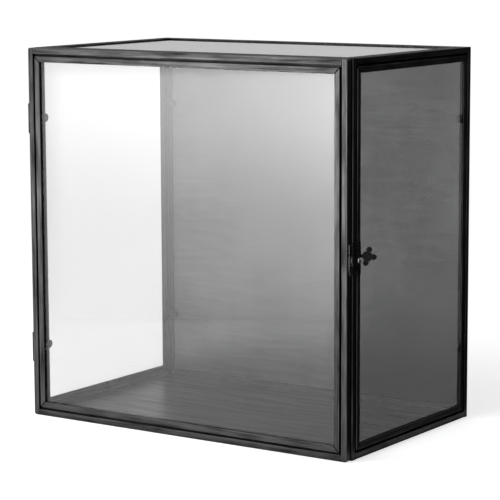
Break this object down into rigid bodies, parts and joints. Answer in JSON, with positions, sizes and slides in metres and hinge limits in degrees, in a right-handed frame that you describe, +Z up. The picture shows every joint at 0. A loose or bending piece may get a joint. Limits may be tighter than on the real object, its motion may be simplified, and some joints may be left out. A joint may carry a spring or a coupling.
{
  "type": "display box",
  "caption": "Free-standing glass display box with a steel bar frame, framed panes, steel back and base, a hinged glass door and a hook latch.",
  "frame": {"origin": "centre of the box's underside, on the base plate", "axes": "+Z up, -Y towards the door, +X to the right as the door is faced, where the latch is"},
  "size_m": [0.4285, 0.25, 0.4],
  "materials": {
    "frame_steel": "dark grey patina with streaks, satin",
    "sheet_steel": "dull grey sheet, lightly streaked",
    "clip_steel": "satin",
    "black_metal": "black gloss",
    "clear_glass": "clear"
  },
  "bodies": {
    "case": {"post_front_left": "frame_steel", "post_front_right": "frame_steel", "post_back_left": "frame_steel", "post_back_right": "frame_steel", "rail_bottom_front": "frame_steel", "rail_bottom_back": "frame_steel", "rail_bottom_left": "frame_steel", "rail_bottom_right": "frame_steel", "rail_top_front": "frame_steel", "rail_top_back": "frame_steel", "rail_top_left": "frame_steel", "rail_top_right": "frame_steel", "left_strip_bottom": "frame_steel", "left_strip_front": "frame_steel", "left_strip_top": "frame_steel", "left_strip_back": "frame_steel", "right_strip_bottom": "frame_steel", "right_strip_back": "frame_steel", "right_strip_top": "frame_steel", "right_strip_front": "frame_steel", "top_strip_front": "frame_steel", "top_strip_right": "frame_steel", "top_strip_back": "frame_steel", "top_strip_left": "frame_steel", "back_strip_bottom": "frame_steel", "back_strip_left": "frame_steel", "back_strip_top": "frame_steel", "back_strip_right": "frame_steel", "left_glass": "clear_glass", "right_glass": "clear_glass", "top_glass": "clear_glass", "back_panel": "sheet_steel", "base_plate": "sheet_steel", "left_clip_bottom": "clip_steel", "left_clip_top": "clip_steel", "left_clip_front_upper": "clip_steel", "left_clip_front_lower": "clip_steel", "left_clip_back_upper": "clip_steel", "left_clip_back_lower": "clip_steel", "upper_hinge_case_leaf": "black_metal", "upper_hinge_pin": "black_metal", "lower_hinge_case_leaf": "black_metal", "lower_hinge_pin": "black_metal", "latch_plate": "black_metal", "latch_washer": "black_metal", "latch_pivot": "black_metal"},
    "door": {"door_stile_left": "frame_steel", "door_stile_right": "frame_steel", "door_rail_bottom": "frame_steel", "door_rail_top": "frame_steel", "door_strip_bottom": "frame_steel", "door_strip_right": "frame_steel", "door_strip_top": "frame_steel", "door_strip_left": "frame_steel", "door_glass": "clear_glass", "upper_hinge_door_leaf": "black_metal", "lower_hinge_door_leaf": "black_metal", "keeper": "black_metal"},
    "latch": {"latch_lever": "black_metal"}
  },
  "joints": [
    {"name": "door_swing", "type": "hinge", "parent": "case", "child": "door", "pos_m": [-0.2021, -0.1157, 0.2], "axis": [0, 0, -1], "range_deg": [0, 180]},
    {"name": "latch_turn", "type": "hinge", "parent": "case", "child": "latch", "pos_m": [0.2045, -0.1104, 0.202], "axis": [1, 0, 0], "range_deg": [0, 90]}
  ]
}
